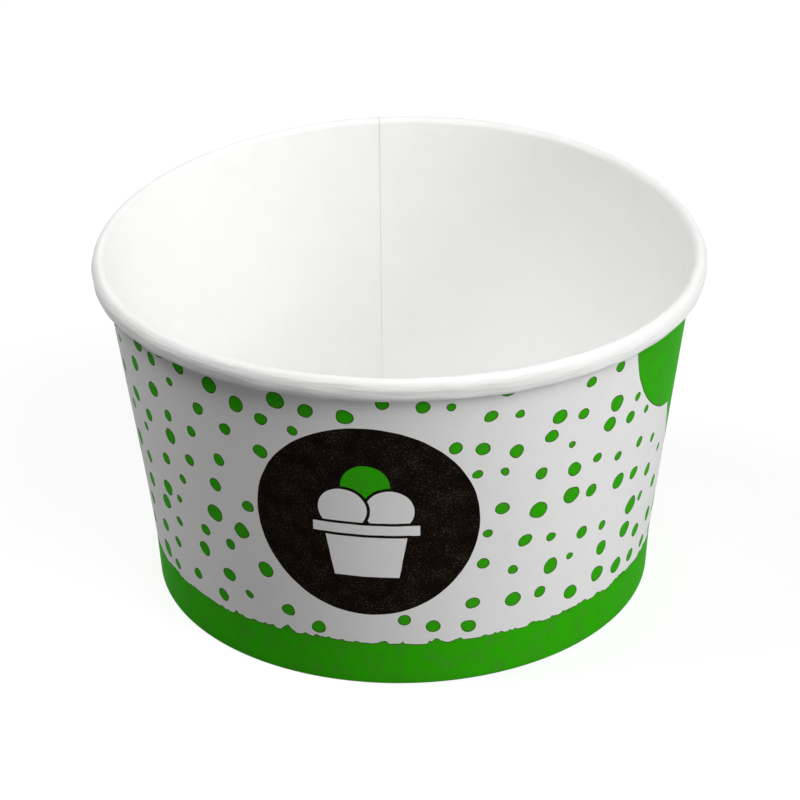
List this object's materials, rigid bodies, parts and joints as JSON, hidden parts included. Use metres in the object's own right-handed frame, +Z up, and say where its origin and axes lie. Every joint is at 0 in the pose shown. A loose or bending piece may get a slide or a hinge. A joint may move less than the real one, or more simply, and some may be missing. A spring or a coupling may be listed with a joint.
{
  "type": "paper dessert cup",
  "caption": "Round tapered paperboard dessert cup with a rolled rim, a glued lap seam and a recessed base held in a folded foot.",
  "frame": {"origin": "centre of the foot, on the surface that the cup stands on", "axes": "+Z up along the cup's axis, +Y towards the glued lap seam at the back"},
  "size_m": [0.097, 0.097, 0.057],
  "materials": {
    "printed_board": "satin",
    "plain_board": "satin"
  },
  "bodies": {
    "root": {"side_wall": "printed_board", "base": "plain_board"}
  },
  "joints": []
}
